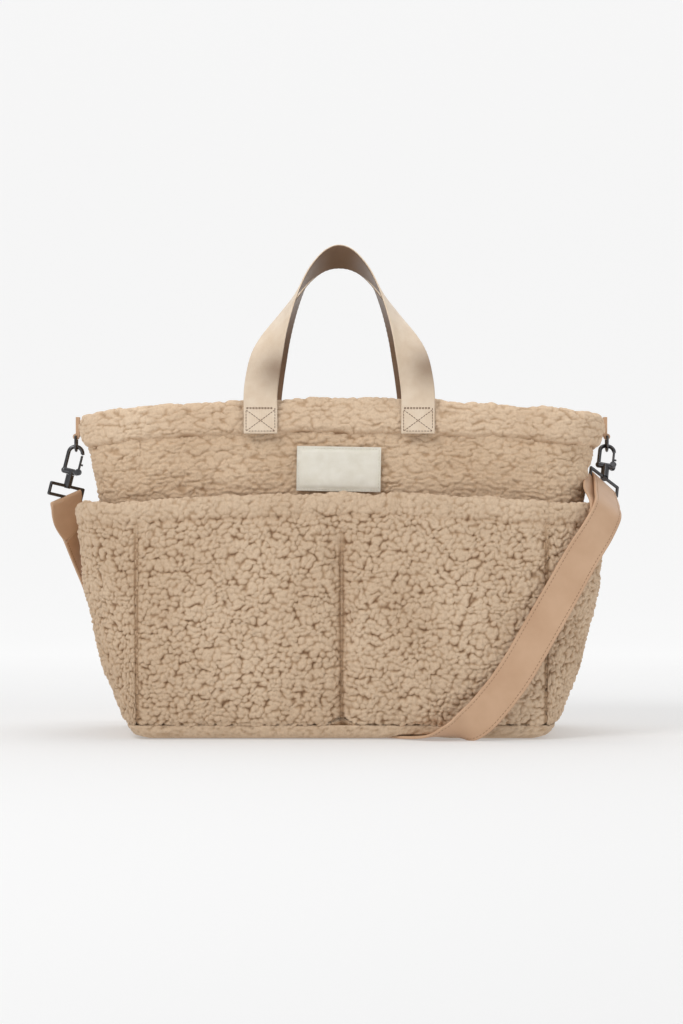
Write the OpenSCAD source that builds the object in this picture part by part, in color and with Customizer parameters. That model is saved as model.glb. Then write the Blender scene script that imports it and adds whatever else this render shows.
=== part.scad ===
// Fleece changing bag: an open-topped tote with a pocket skirt, two webbing
// carry handles and a clip-on shoulder strap.
// X runs across the front, Y from front to back, Z up. The origin is on the
// floor, under the middle of the base.

/* [Bag] */
// Half the width of the bag at the seam that joins front and side panels
seam_x = 182; // [180:1:184]
// Height of the top edge at the corners
rim_z = 290; // [288:1:294]
// Extra height of the top edge at the middle
rim_crown = 13; // [6:1:14]
// Thickness of the fleece body panels
panel_t = 8; // [6:0.5:8]
// Thickness of the foam padding behind the front and rear panels
padding_t = 5; // [3:0.5:5]
// Thickness of the lining cloth
lining_t = 1.6; // [1:0.2:2]
// Thickness of the rolled hem band over the top edge
hem_t = 5; // [4:0.5:5]
// Height of the hem band
hem_h = 34; // [30:1:36]
// Thickness of the stitched base
base_t = 12; // [10:1:12]

/* [Pockets] */
// Height of the pocket openings at the corners
pocket_z = 210; // [206:1:212]
// Extra height of the pocket openings at the middle of the front
pocket_crown = 8; // [4:1:9]
// Thickness of the pocket walls
pocket_t = 9; // [7:0.5:9]

/* [Handles] */
// Width of the handle webbing
web_w = 30; // [26:1:32]
// Thickness of the handle webbing
web_t = 2; // [1.6:0.1:2.4]
// Distance of each handle foot from the middle of the handle
foot_x = 70; // [64:1:74]
// Offset of the handles from the middle of the bag
handle_x = -2; // [-4:1:4]
// Length of the sewn foot
foot_h = 32; // [28:1:34]

/* [Label] */
// Width of the sewn label
label_w = 75; // [60:1:80]
// Height of the sewn label
label_h = 40; // [34:1:41]

/* [Clips] */
// Wire diameter of the D-rings
ring_d = 2.4; // [2:0.1:2.4]
// Inside half-width of the D-rings
ring_r = 7; // [6.6:0.1:7.4]
// Wire diameter of the clip hooks
hook_d = 3.6; // [3.2:0.1:3.6]
// Radius of the hook bend, at the middle of its wire
hook_r = 6.5; // [6.3:0.1:6.7]
// Diameter of the swivel post
post_d = 4; // [3.6:0.1:4.2]
// Outer width of the strap loops
loop_w = 39; // [38:0.5:40]
// Outer height of the strap loops
loop_h = 13; // [12:0.5:13]

/* [Strap] */
// Width of the shoulder strap
strap_w = 32; // [30:1:33]
// Thickness of the shoulder strap
strap_t = 2.4; // [2:0.1:2.6]

/* [Hidden] */

fleece = [0.78, 0.65, 0.53];
cream = [0.94, 0.92, 0.86];
tan_leather = [0.79, 0.63, 0.50];
webbing = [0.88, 0.75, 0.61];
gunmetal = [0.25, 0.25, 0.26];

// Half-widths and half-depths of the body and of the pocket skirt, by height
body_x = [[0, 168], [12, 185], [62, 201], [133, 216], [215, 227], [265, 233], [305, 237]];
body_y = [[0, 76], [12, 79], [62, 80], [133, 80], [200, 78], [310, 78]];
skirt_x = [[0, 180], [3, 188], [12, 196], [18, 200], [62, 219], [133, 238], [215, 247]];
skirt_y = [[0, 84], [3, 88], [12, 91], [18, 93], [62, 99], [133, 102], [215, 102]];
// How far the middle of each side folds in, by height
body_tuck = [[0, 3], [62, 10], [133, 14], [215, 14], [262, 5], [275, 0], [310, 0]];
skirt_tuck = [[0, 0], [12, 2], [62, 6], [133, 9], [215, 12]];
body_corner = 45;
skirt_corner = 58;
wall_z = base_t + 0.2;
gap = 0.3;
board_t = 2;
floor_z = base_t + 2 * gap + board_t;
front_y = -lookup(280, body_y);

function mix(a, b, t) = a + (b - a) * t;

// ---- Outline of the bag seen from above ----
// The turn runs 0 to 1 along the front, 1 to 2 round the right side,
// 2 to 3 along the rear and 3 to 4 round the left side.
function side_outline(a, b, rx, ry, s) =
    s < 0.4 ? [a - rx + rx * cos(225 * s - 90), ry - b + ry * sin(225 * s - 90)] :
    s < 0.6 ? [a, mix(ry - b, b - ry, (s - 0.4) * 5)] :
    [a - rx + rx * cos(225 * (s - 0.6)), b - ry + ry * sin(225 * (s - 0.6))];

function outline(a, b, rx, ry, u) =
    u >= 4 ? outline(a, b, rx, ry, u - 4) :
    u < 1 ? [mix(rx - a, a - rx, u), -b] :
    u < 2 ? side_outline(a, b, rx, ry, u - 1) :
    u < 3 ? [mix(a - rx, rx - a, u - 2), b] :
    -side_outline(a, b, rx, ry, u - 3);

function tucked(p, depth, b) = [p.x - sign(p.x) * depth * pow(cos(90 * min(1, abs(p.y) / b)), 2), p.y];

// A point of the body (skirt = false) or pocket skirt, offset outwards
function skin(u, z, off, skirt) =
    let (a = lookup(z, skirt ? skirt_x : body_x))
    let (b = lookup(z, skirt ? skirt_y : body_y))
    let (seam = min(seam_x, a - (skirt ? 12 : 20)))
    let (ry = (skirt ? skirt_corner : body_corner) + off)
    let (flat = outline(a + off, b + off, a - seam + off, ry, u))
    let (side = u % 2 > 1 ? 1 : 0)
    let (xy = side > 0 ? tucked(flat, lookup(z, skirt ? skirt_tuck : body_tuck), b + off) : flat)
    [xy.x, xy.y, z];

// Height of the top edge and of the pocket edge above a place on the outline
function rim(u) = let (x = skin(u, rim_z, 0, false).x) rim_z + rim_crown * (1 - pow(min(1, abs(x) / 235), 2));
function pocket_rim(u) =
    let (p = skin(u, pocket_z, 0, true))
    u % 2 > 1 ? pocket_z - 7 * pow(cos(min(90, abs(p.y))), 4) :
    pocket_z + pocket_crown * (1 - pow(abs(p.x) / seam_x, 2));

// Turns at which a wall is sampled
front_turns = [for (i = [0:8]) i / 8];
side_turns = [0, 0.1, 0.2, 0.3, 0.4, 0.45, 0.5, 0.55, 0.6, 0.7, 0.8, 0.9, 1];
function shifted(turns, by) = [for (t = turns) t + by];
round_turns = [for (k = [0:3]) for (i = [0:(k % 2 == 0 ? 8 : 12) - 1])
    k + (k % 2 == 0 ? front_turns[i] : side_turns[i])];

// A wall that follows the outline, from low(u) to high(u), between two offsets.
// kind 0: body wall, 1: pocket wall, 2: hem band
function low_z(kind, u) = kind == 2 ? rim(u) - hem_h : wall_z;
function high_z(kind, u) = kind == 1 ? pocket_rim(u) : kind == 2 ? rim(u) : rim(u) - 1;

module wall(turns, kind, inner, outer, rows = 8, closed = false, start = undef) {
    n = len(turns);
    points = [for (off = [outer, inner]) for (j = [0:rows]) for (u = turns)
        skin(u, mix(is_undef(start) ? low_z(kind, u) : start, high_z(kind, u), j / rows), off, kind == 1)];
    layer = n * (rows + 1);
    function at(side, j, i) = side * layer + j * n + i % n;
    spans = closed ? n - 1 : n - 2;
    outside = [for (j = [0:rows - 1]) for (i = [0:spans])
        each [[at(0, j, i), at(0, j + 1, i), at(0, j + 1, i + 1)], [at(0, j, i), at(0, j + 1, i + 1), at(0, j, i + 1)]]];
    inside = [for (j = [0:rows - 1]) for (i = [0:spans])
        each [[at(1, j, i), at(1, j + 1, i + 1), at(1, j + 1, i)], [at(1, j, i), at(1, j, i + 1), at(1, j + 1, i + 1)]]];
    edges = [for (i = [0:spans])
        each [[at(0, 0, i), at(0, 0, i + 1), at(1, 0, i + 1)], [at(0, 0, i), at(1, 0, i + 1), at(1, 0, i)],
            [at(0, rows, i), at(1, rows, i + 1), at(0, rows, i + 1)],
            [at(0, rows, i), at(1, rows, i), at(1, rows, i + 1)]]];
    ends = closed ? [] : [for (j = [0:rows - 1])
        each [[at(0, j, 0), at(1, j, 0), at(1, j + 1, 0)], [at(0, j, 0), at(1, j + 1, 0), at(0, j + 1, 0)],
            [at(0, j, n - 1), at(1, j + 1, n - 1), at(1, j, n - 1)],
            [at(0, j, n - 1), at(0, j + 1, n - 1), at(1, j + 1, n - 1)]]];
    polyhedron(points, [for (f = concat(outside, inside, edges, ends)) [f[2], f[1], f[0]]]);
}

// A slab that follows the whole outline between two heights
module slab(heights, off, skirt) {
    n = len(round_turns);
    top = len(heights) - 1;
    points = concat([for (z = heights) for (u = round_turns) skin(u, z, off, skirt)],
        [[0, 0, heights[0]], [0, 0, heights[top]]]);
    sides = [for (j = [0:top - 1]) for (i = [0:n - 1])
        each [[j * n + i, (j + 1) * n + i, (j + 1) * n + (i + 1) % n],
            [j * n + i, (j + 1) * n + (i + 1) % n, j * n + (i + 1) % n]]];
    caps = [for (i = [0:n - 1])
        each [[n * (top + 1), i, (i + 1) % n], [n * (top + 1) + 1, top * n + (i + 1) % n, top * n + i]]];
    polyhedron(points, concat(sides, caps));
}

// ---- Ribbons: the webbing handles and the strap ----
function unit(v) = v / norm(v);
function curve(a, b, c, d, t) =
    0.5 * (2 * b + (c - a) * t + (2 * a - 5 * b + 4 * c - d) * t * t + (3 * b - a - 3 * c + d) * t * t * t);
// A smooth curve through the points, with a number of steps between each two
function smooth(p, steps) =
    let (last = len(p) - 1)
    concat([for (i = [0:last - 1]) for (k = [0:steps - 1])
        curve(p[max(0, i - 1)], p[i], p[i + 1], p[min(last, i + 2)], k / steps)], [p[last]]);

// A flat strip along the path. across says which way its width points.
module ribbon(path, across, width, thickness) {
    n = len(path);
    a = width / 2;
    b = thickness / 2;
    c = thickness * 0.3;
    profile = [[a, c - b], [a, b - c], [a - c, b], [c - a, b], [-a, b - c], [-a, c - b], [c - a, -b], [a - c, -b]];
    points = [for (i = [0:n - 1])
        let (along = unit(path[min(n - 1, i + 1)] - path[max(0, i - 1)]))
        let (wide = unit(across[i] - along * (along * across[i])))
        let (out = cross(along, wide))
        for (p = profile) path[i] + wide * p.x + out * p.y];
    sides = [for (i = [0:n - 2]) for (k = [0:7])
        each [[i * 8 + k, (i + 1) * 8 + k, (i + 1) * 8 + (k + 1) % 8],
            [i * 8 + k, (i + 1) * 8 + (k + 1) % 8, i * 8 + (k + 1) % 8]]];
    caps = [[for (k = [0:7]) k], [for (k = [7:-1:0]) (n - 1) * 8 + k]];
    polyhedron(points, concat(sides, caps));
}

// ---- Body ----
module front_panel() { color(fleece) wall(front_turns, 0, -panel_t, 0); }
module rear_panel() { color(fleece) wall(shifted(front_turns, 2), 0, -panel_t, 0); }
module right_gusset() { color(fleece) wall(shifted(side_turns, 1), 0, -panel_t, 0); }
module left_gusset() { color(fleece) wall(shifted(side_turns, 3), 0, -panel_t, 0); }
module top_hem_band() { color(fleece) wall(round_turns, 2, gap / 2, hem_t, rows = 3, closed = true); }

// The strap lies in a shallow channel pressed into the soft base
module base_panel() {
    color(fleece) difference() {
        slab([0, 3, base_t], 0, true);
        translate(channel_mid) rotate([0, 0, channel_turn])
            cube([channel_l, strap_w + 2, 2 * (strap_t + 1)], center = true);
    }
}

module padding(by) {
    wall(shifted(front_turns, by), 0, -panel_t - gap - padding_t, -panel_t - gap, start = floor_z);
}
module front_padding() { color("white") padding(0); }
module rear_padding() { color("white") padding(2); }
lining_off = -panel_t - padding_t - 2 * gap;
module base_board() { color("dimgray") slab([base_t + gap, base_t + gap + board_t], -panel_t - 1, false); }
module lining() { color(cream) wall(round_turns, 0, lining_off - lining_t, lining_off, closed = true, start = floor_z); }
module lining_floor() { color(cream) slab([floor_z, floor_z + lining_t], lining_off - lining_t - gap / 2, false); }

// ---- Pockets ----
function pocket_turns(from, to) = [for (i = [0:6]) mix(from, to, i / 6)];
module pocket(turns) { color(fleece) wall(turns, 1, -pocket_t, 0); }
module front_left_pocket() { pocket(pocket_turns(0, 0.5)); }
module front_right_pocket() { pocket(pocket_turns(0.5, 1)); }
module right_side_pocket() { pocket(shifted(side_turns, 1)); }
module rear_pocket() { pocket(pocket_turns(2, 3)); }
module left_side_pocket() { pocket(shifted(side_turns, 3)); }

// Slip pocket sewn to the rear lining: a thin sheet with its sides and bottom turned in
inner_w = 190;
inner_low = 100;
inner_h = 110;
inner_gap = 9;
inner_y = -front_y + lining_off - lining_t - gap;
module inner_pocket() {
    color(cream) translate([-inner_w / 2, inner_y - inner_gap, inner_low]) difference() {
        cube([inner_w, inner_gap, inner_h]);
        translate([lining_t, lining_t, lining_t]) cube([inner_w - 2 * lining_t, inner_gap, inner_h]);
    }
}

// Magnet snap halves riveted to the facings, inside the mouth
snap_z = 276;
module magnet_snap(stud) {
    rotate([90, 0, 0]) {
        cylinder(r = 9, h = 2.4, $fn = 48);
        translate([0, 0, 2.4]) {
            if (stud) cylinder(r = 3, h = 2, $fn = 32);
            else difference() {
                cylinder(r = 7, h = 1.6, $fn = 48);
                translate([0, 0, -1]) cylinder(r = 3.4, h = 4, $fn = 32);
            }
        }
    }
}
module front_magnet_snap() { color(gunmetal) translate([0, -inner_y, snap_z]) mirror([0, 1, 0]) magnet_snap(true); }
module rear_magnet_snap() { color(gunmetal) translate([0, inner_y, snap_z]) magnet_snap(false); }

// ---- Label ----
label_z = 240;
module label() {
    color(cream) translate([-2.5, front_y - gap, label_z]) rotate([0, -1, 0])
        translate([-label_w / 2, -1, -label_h / 2]) cube([label_w, 1, label_h]);
}

// ---- Handles ----
// The hinge line of a handle is the top of its feet, where the webbing bends
hinge_z = 303.5;
web_y = front_y - hem_t - gap - web_t / 2;
// Middle of the webbing from the right foot to the crown, from the hinge line
handle_rise = [[70, 0, 3], [68.5, 1, 17], [65, 5, 36], [58.5, 12, 56], [48, 22, 78],
    [37, 31, 98], [25, 38, 115], [12, 43, 126], [0, 45, 129.5]];
// Direction from the outer to the inner edge of the webbing at those places
handle_turn = [[-1, 0, 0], [-1, -0.06, 0], [-0.95, -0.25, 0.05], [-0.75, -0.6, 0.1], [-0.4, -0.9, 0.12],
    [-0.12, -0.97, 0.16], [-0.02, -0.92, 0.36], [0, -0.82, 0.56], [0, -0.77, 0.64]];
crown_at = len(handle_rise) - 1;
handle_path = smooth([for (i = [-crown_at:crown_at]) let (p = handle_rise[crown_at - abs(i)])
    [handle_x + sign(i) * p.x * foot_x / 70, web_y + p.y, hinge_z + p.z]], 3);
handle_across = smooth([for (i = [-crown_at:crown_at]) let (p = handle_turn[crown_at - abs(i)])
    [i < 0 ? -p.x : p.x, p.y, p.z]], 3);

module handle() { ribbon(handle_path, handle_across, web_w, web_t); }
module handle_feet() {
    for (s = [-1, 1]) translate([handle_x + s * foot_x - web_w / 2, web_y - web_t / 2, hinge_z - foot_h])
        cube([web_w, web_t, foot_h]);
}
module front_handle() { color(webbing) handle(); }
module rear_handle() { color(webbing) mirror([0, 1, 0]) handle(); }
module front_handle_feet() { color(webbing) handle_feet(); }
module rear_handle_feet() { color(webbing) mirror([0, 1, 0]) handle_feet(); }

// ---- Side tabs and D-rings ----
bar_z = 271;
tab_x = lookup(bar_z, body_x) + hem_t + 5.4;
sewn_x = lookup(bar_z + 18, body_x) + hem_t + gap;
tab_w = 9;
running = 0.07;
// The left side is the mirror of the right, so these are drawn on the right
module tab() {
    color(tan_leather) difference() {
        union() {
            translate([sewn_x, -tab_w / 2, bar_z]) cube([tab_x - sewn_x, tab_w, 18]);
            translate([tab_x, 0, bar_z]) rotate([90, 0, 0])
                cylinder(r = ring_d / 2 + 1.5, h = tab_w, center = true, $fn = 48);
        }
        translate([tab_x, 0, bar_z]) rotate([90, 0, 0])
            cylinder(r = ring_d / 2 + running, h = tab_w + 2, center = true, $fn = 48);
    }
}
ring_leg = 6;
module ring() {
    color(gunmetal) translate([tab_x, 0, bar_z]) {
        rotate([90, 0, 0]) cylinder(d = ring_d, h = 2 * ring_r, center = true, $fn = 32);
        for (s = [-1, 1]) translate([0, s * ring_r, 0]) {
            sphere(d = ring_d, $fn = 32);
            translate([0, 0, -ring_leg]) cylinder(d = ring_d, h = ring_leg, $fn = 32);
        }
        translate([0, 0, -ring_leg]) rotate([0, 90, 0]) rotate([0, 0, -90]) rotate_extrude(angle = 180, $fn = 48)
            translate([ring_r, 0]) circle(d = ring_d, $fn = 24);
    }
}

// ---- Swivel clips ----
// Each clip is drawn about its swivel axis, with the hook up and the strap loop down
bend_z = 25;
ring_at = 27.6;
gate_z = 9;
gate_x = hook_r;
pin_r = 0.8;
fork = 3;
post_low = -7;
barrel_low = -6;
barrel_high = 5;
loop_top = barrel_low - 1 + 2.6;
loop_wire = 3;

// Puts a clip on its ring, sliding round the ring as it leans forward
lean_left = [0, 14, 0];
lean_right = [-37, 10, 0];
module hang(side) {
    lean = side < 0 ? lean_left : lean_right;
    translate([side * tab_x, ring_r * sin(lean.x), bar_z - ring_leg - ring_r * cos(lean.x)])
        rotate(lean) translate([0, 0, -ring_at]) children();
}

module hook() {
    color(gunmetal) difference() {
        union() {
            translate([0, 0, bend_z]) rotate([90, 0, 0]) rotate_extrude(angle = 180, $fn = 64)
                translate([hook_r, 0]) circle(d = hook_d, $fn = 24);
            translate([-hook_r, 0, gate_z - 1]) cylinder(d = hook_d, h = bend_z - gate_z + 1, $fn = 24);
            translate([-hook_r, 0, gate_z - 1]) rotate([0, 90, 0])
                cylinder(d = hook_d + 2, h = 2 * hook_r, $fn = 32);
            translate([gate_x, 0, gate_z]) rotate([90, 0, 0])
                cylinder(r = 3, h = 6.4, center = true, $fn = 32);
            translate([-hook_r, 0, gate_z - 1]) sphere(d = hook_d + 2, $fn = 32);
            translate([0, 0, barrel_high + gap]) cylinder(d = post_d + 2.4, h = 3, $fn = 32);
            translate([0, 0, post_low]) cylinder(d = post_d, h = gate_z - post_low, $fn = 32);
            translate([0, 0, post_low - 0.8]) cylinder(d = post_d + 1.6, h = 1.6, $fn = 32);
        }
        translate([gate_x, 0, gate_z]) rotate([90, 0, 0])
            cylinder(r = pin_r, h = 10, center = true, $fn = 24);
        translate([gate_x - 3.4, -fork / 2 - 0.2, gate_z - 3.4]) cube([8, fork + 0.4, 20]);
    }
}
module gate() {
    color(gunmetal) difference() {
        union() {
            translate([gate_x, -0.4, gate_z]) rotate([90, 0, 0])
                cylinder(r = 2.4, h = fork - 0.8, center = true, $fn = 32);
            translate([gate_x, -0.4, gate_z + 1.8]) cylinder(d = 2.2, h = bend_z - gate_z - 2.4, $fn = 24);
            translate([gate_x, -0.4, gate_z + 7]) rotate([0, 90, 0]) cylinder(d = 1.8, h = 2.8, $fn = 24);
        }
        translate([gate_x, 0, gate_z]) rotate([90, 0, 0])
            cylinder(r = pin_r + running, h = 10, center = true, $fn = 24);
    }
}
module gate_pin() {
    color(gunmetal) translate([gate_x, 0, gate_z]) rotate([90, 0, 0])
        cylinder(r = pin_r, h = 6.4, center = true, $fn = 24);
}
// The torsion spring is a short sleeve on the pin, beside the eye of the gate
module gate_spring() {
    color("silver") translate([gate_x, 1.1, gate_z]) rotate([90, 0, 0]) difference() {
        cylinder(r = 1.7, h = 0.7, center = true, $fn = 32);
        cylinder(r = pin_r + 0.1, h = 2, center = true, $fn = 24);
    }
}
module strap_loop(turn) {
    low = loop_top - loop_h;
    color(gunmetal) {
        difference() {
            union() {
                translate([0, 0, barrel_low]) cylinder(d = post_d + 3.4, h = barrel_high - barrel_low, $fn = 48);
                rotate([0, 0, turn]) {
                    translate([0, 0, loop_top - loop_wire / 2]) rotate([0, 90, 0])
                        cylinder(d = loop_wire, h = loop_w - loop_wire, center = true, $fn = 24);
                    translate([0, 0, low + loop_wire / 2]) rotate([0, 90, 0])
                        cylinder(d = loop_wire, h = loop_w - loop_wire, center = true, $fn = 24);
                    for (s = [-1, 1]) translate([s * (loop_w - loop_wire) / 2, 0, low + loop_wire / 2]) {
                        cylinder(d = loop_wire, h = loop_h - loop_wire, $fn = 24);
                        for (z = [0, loop_h - loop_wire]) translate([0, 0, z]) sphere(d = loop_wire, $fn = 24);
                    }
                }
            }
            translate([0, 0, post_low]) cylinder(d = post_d + 2 * running, h = 40, $fn = 32);
            translate([0, 0, post_low - 1.1]) cylinder(d = post_d + 2.4, h = 2.3, $fn = 32);
        }
    }
}

loop_turn_left = 40;
loop_turn_right = 38;

module left_tab() { mirror([1, 0, 0]) tab(); }
module right_tab() { tab(); }
module left_ring() { mirror([1, 0, 0]) ring(); }
module right_ring() { ring(); }
module left_hook() { hang(-1) hook(); }
module right_hook() { hang(1) hook(); }
module left_gate() { hang(-1) gate(); }
module right_gate() { hang(1) gate(); }
module left_gate_pin() { hang(-1) gate_pin(); }
module right_gate_pin() { hang(1) gate_pin(); }
module left_gate_spring() { hang(-1) gate_spring(); }
module right_gate_spring() { hang(1) gate_spring(); }
module left_strap_loop() { hang(-1) strap_loop(loop_turn_left); }
module right_strap_loop() { hang(1) strap_loop(loop_turn_right); }

// ---- Shoulder strap ----
// From the right clip over the front corner to the floor, under the base, and
// up round the rear left corner to the left clip
strap_route = [[238, -31, 228], [239, -43, 221], [238, -64, 214], [236, -88, 203], [227, -100, 186],
    [212, -106, 163], [195, -109, 133], [176, -110, 100], [154, -109, 62], [135, -108, 36], [117, -106, 17],
    [99, -102, 8], [80, -88, 3], [40, -56, 1.6], [-50, 17, 1.6], [-110, 65, 1.6], [-146, 97, 4],
    [-178, 116, 22], [-206, 118, 58], [-226, 106, 100], [-241, 76, 144], [-249, 36, 184], [-253, 10, 205],
    [-254, 2, 214]];
strap_across = [[0.68, 0.5, -0.55], [0.68, 0.5, -0.55], [0.7, 0.5, -0.5], [0.75, 0.45, -0.46],
    [0.8, 0.35, -0.45], [0.85, 0.22, -0.45], [0.88, 0.1, -0.45], [0.89, 0.04, -0.45], [0.89, 0, -0.45],
    [0.85, 0, -0.52], [0.82, 0.12, -0.5], [0.75, 0.55, -0.25], [0.64, 0.77, 0], [0.63, 0.78, 0], [0.63, 0.78, 0],
    [0.63, 0.78, 0], [0.65, 0.72, 0.1], [0.75, 0.5, 0.35], [0.72, 0.6, 0.3], [0.5, 0.8, 0.2],
    [0.3, 0.92, 0.2], [0.5, 0.85, 0.1], [0.7, 0.7, 0], [0.77, 0.64, 0]];
channel_mid = [-15, -11.5, 0];
channel_turn = -38.8;
channel_l = 560;

module shoulder_strap() { color(tan_leather) ribbon(smooth(strap_route, 3), smooth(strap_across, 3), strap_w, strap_t); }

front_panel();
rear_panel();
left_gusset();
right_gusset();
base_panel();
top_hem_band();
front_left_pocket();
front_right_pocket();
left_side_pocket();
right_side_pocket();
rear_pocket();
front_padding();
rear_padding();
base_board();
lining();
lining_floor();
inner_pocket();
front_magnet_snap();
rear_magnet_snap();
label();
front_handle();
rear_handle();
front_handle_feet();
rear_handle_feet();
left_tab();
right_tab();
left_ring();
right_ring();
left_hook();
right_hook();
left_gate();
right_gate();
left_gate_pin();
right_gate_pin();
left_gate_spring();
right_gate_spring();
left_strap_loop();
right_strap_loop();
shoulder_strap();
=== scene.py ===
# Fleece changing bag: the soft goods, webbing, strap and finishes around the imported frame.
import math

import bpy
import numpy as np
from mathutils import Matrix, Vector


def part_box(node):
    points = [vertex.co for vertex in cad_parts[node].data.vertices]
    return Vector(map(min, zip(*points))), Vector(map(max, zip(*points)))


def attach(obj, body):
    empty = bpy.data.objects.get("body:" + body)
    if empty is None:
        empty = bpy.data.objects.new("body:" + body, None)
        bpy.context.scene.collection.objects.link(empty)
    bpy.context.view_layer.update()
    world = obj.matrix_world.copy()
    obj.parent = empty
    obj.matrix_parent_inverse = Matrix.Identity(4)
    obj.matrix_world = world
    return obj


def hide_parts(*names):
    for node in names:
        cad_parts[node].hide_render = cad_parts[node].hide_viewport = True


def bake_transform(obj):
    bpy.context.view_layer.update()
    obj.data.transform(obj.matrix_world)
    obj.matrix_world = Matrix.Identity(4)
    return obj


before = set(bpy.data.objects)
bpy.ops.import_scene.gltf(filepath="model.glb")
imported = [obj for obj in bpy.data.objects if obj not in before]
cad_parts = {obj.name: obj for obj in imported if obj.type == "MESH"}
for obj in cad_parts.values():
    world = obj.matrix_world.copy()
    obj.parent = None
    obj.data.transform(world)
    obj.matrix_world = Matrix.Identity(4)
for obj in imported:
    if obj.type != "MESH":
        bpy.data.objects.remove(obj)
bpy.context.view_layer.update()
MM = 0.001

# ---------------- sizes, in millimetres, as in the CAD
SEAM_X = 182.0
RIM_Z, RIM_CROWN, RIM_HALF = 290.0, 13.0, 235.0
HEM_H, HEM_T = 34.0, 5.0
PANEL_T, POCKET_T = 8.0, 9.0
POCKET_Z, POCKET_CROWN, POCKET_SAG = 210.0, 8.0, 7.0
BASE_T = 12.0
LINING_OFF = -13.6
PAD_LOW, PAD_HIGH, PAD_BELOW_RIM = 17.0, 276.0, 16.0
FRONT_Y = -78.0
WEB_W, WEB_T = 30.0, 2.0
FOOT_X, FOOT_H, HANDLE_X = 70.0, 32.0, -2.0
HINGE_Z = 303.5
WEB_Y = FRONT_Y - HEM_T - 0.3 - WEB_T / 2
STRAP_W, STRAP_T = 32.0, 2.4
CHANNEL_AT, CHANNEL_TURN = (-15.0, -11.5), -38.8    # the strap's channel under the base
CHANNEL_DEPTH, CHANNEL_HALF = 4.2, 20.0
LABEL_W, LABEL_H, LABEL_Z, LABEL_X = 75.0, 40.0, 240.0, -2.5
LABEL_TILT = 1.0

BODY_X = [(0, 168), (12, 185), (62, 201), (133, 216), (215, 227), (265, 233), (305, 237)]
BODY_Y = [(0, 76), (12, 79), (62, 80), (133, 80), (200, 78), (310, 78)]
SKIRT_X = [(0, 180), (3, 188), (12, 196), (18, 200), (62, 219), (133, 238), (215, 247)]
SKIRT_Y = [(0, 84), (3, 88), (12, 91), (18, 93), (62, 99), (133, 102), (215, 102)]
BODY_TUCK = [(0, 3), (62, 10), (133, 14), (215, 14), (262, 5), (275, 0), (310, 0)]
SKIRT_TUCK = [(0, 0), (12, 2), (62, 6), (133, 9), (215, 12)]


# ---------------- camera
CAMERA_D = 2.4          # from the front of the pockets, in metres
POCKET_FRONT_Y = -0.095
CAMERA_Z = 0.2018
VIEW_H = 0.906          # height of the picture where the front of the bag stands
camera_data = bpy.data.cameras.new("camera")
camera_data.sensor_fit = "VERTICAL"
camera_data.sensor_height = 24.0
camera_data.lens = camera_data.sensor_height * CAMERA_D / VIEW_H
camera = bpy.data.objects.new("camera", camera_data)
camera.location = (0.0, POCKET_FRONT_Y - CAMERA_D, CAMERA_Z)
camera.rotation_euler = (math.radians(90), 0, 0)
bpy.context.scene.collection.objects.link(camera)
bpy.context.scene.camera = camera


# ---------------- outline of the bag, as in the CAD
def lookup(z, table):
    return np.interp(z, [p[0] for p in table], [p[1] for p in table])


def run_along(points):
    """Distance from the first point to each one."""
    return np.concatenate([[0], np.cumsum(np.linalg.norm(np.diff(points, axis=0), axis=1))])


def outline(a, b, rx, ry, u):
    """The outline seen from above at turn u: front 0-1, right 1-2, rear 2-3, left 3-4."""
    u = np.mod(u, 4.0)
    flip = np.where(u >= 2, -1.0, 1.0)
    v = np.mod(u, 2.0)
    s = v - 1
    front = v < 1
    g1, g2 = np.radians(225 * s - 90), np.radians(225 * (s - 0.6))
    sx = np.where(s < 0.4, a - rx + rx * np.cos(g1), np.where(s < 0.6, a, a - rx + rx * np.cos(g2)))
    sy = np.where(s < 0.4, ry - b + ry * np.sin(g1),
                  np.where(s < 0.6, (ry - b) + (2 * b - 2 * ry) * (s - 0.4) * 5, b - ry + ry * np.sin(g2)))
    x = np.where(front, (rx - a) + 2 * (a - rx) * v, sx)
    y = np.where(front, -b, sy)
    return flip * x, flip * y


def skin(u, z, off, skirt):
    """Places on the wall of the body or the skirt at turn u and height z, off outwards."""
    u, z, off = np.broadcast_arrays(np.asarray(u, float), np.asarray(z, float), np.asarray(off, float))
    a = lookup(z, SKIRT_X if skirt else BODY_X)
    b = lookup(z, SKIRT_Y if skirt else BODY_Y)
    seam = np.minimum(SEAM_X, a - (12 if skirt else 20))
    x, y = outline(a + off, b + off, a - seam + off, (58 if skirt else 45) + off, u)
    tuck = lookup(z, SKIRT_TUCK if skirt else BODY_TUCK)
    bend = np.cos(np.pi / 2 * np.minimum(1, np.abs(y) / (b + off))) ** 2
    side = np.mod(u, 2.0) > 1
    return np.stack([x - np.where(side, np.sign(x) * tuck * bend, 0), y, z], axis=-1)


def rim(u):
    """Height of the mouth, which is crowned at the front and the rear."""
    x = skin(u, RIM_Z, 0, False)[..., 0]
    return RIM_Z + RIM_CROWN * (1 - np.minimum(1, np.abs(x) / RIM_HALF) ** 2)


def pocket_rim(u):
    """Height of the pockets: crowned at the front and the rear, and sagging at the sides."""
    p = skin(u, POCKET_Z, 0, True)
    side = POCKET_Z - POCKET_SAG * np.cos(np.radians(np.minimum(90, np.abs(p[..., 1])))) ** 4
    front = POCKET_Z + POCKET_CROWN * (1 - (np.abs(p[..., 0]) / SEAM_X) ** 2)
    return np.where(np.mod(u, 2.0) > 1, side, front)


def even_turns(start, stop, step, skirt, z):
    """Turns from start to stop, one every step millimetres along the outline."""
    fine = np.linspace(start, stop, 2000)
    p = skin(fine, z, 0, skirt)
    run = run_along(p)
    count = max(3, int(round(run[-1] / step)) + 1)
    along = np.linspace(0, run[-1], count)
    return np.interp(along, run, fine), along


# ---------------- noise
TABLE = 256             # the noise repeats after this many cells
ROW_PITCH, JITTER = 0.9, 0.62


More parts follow.
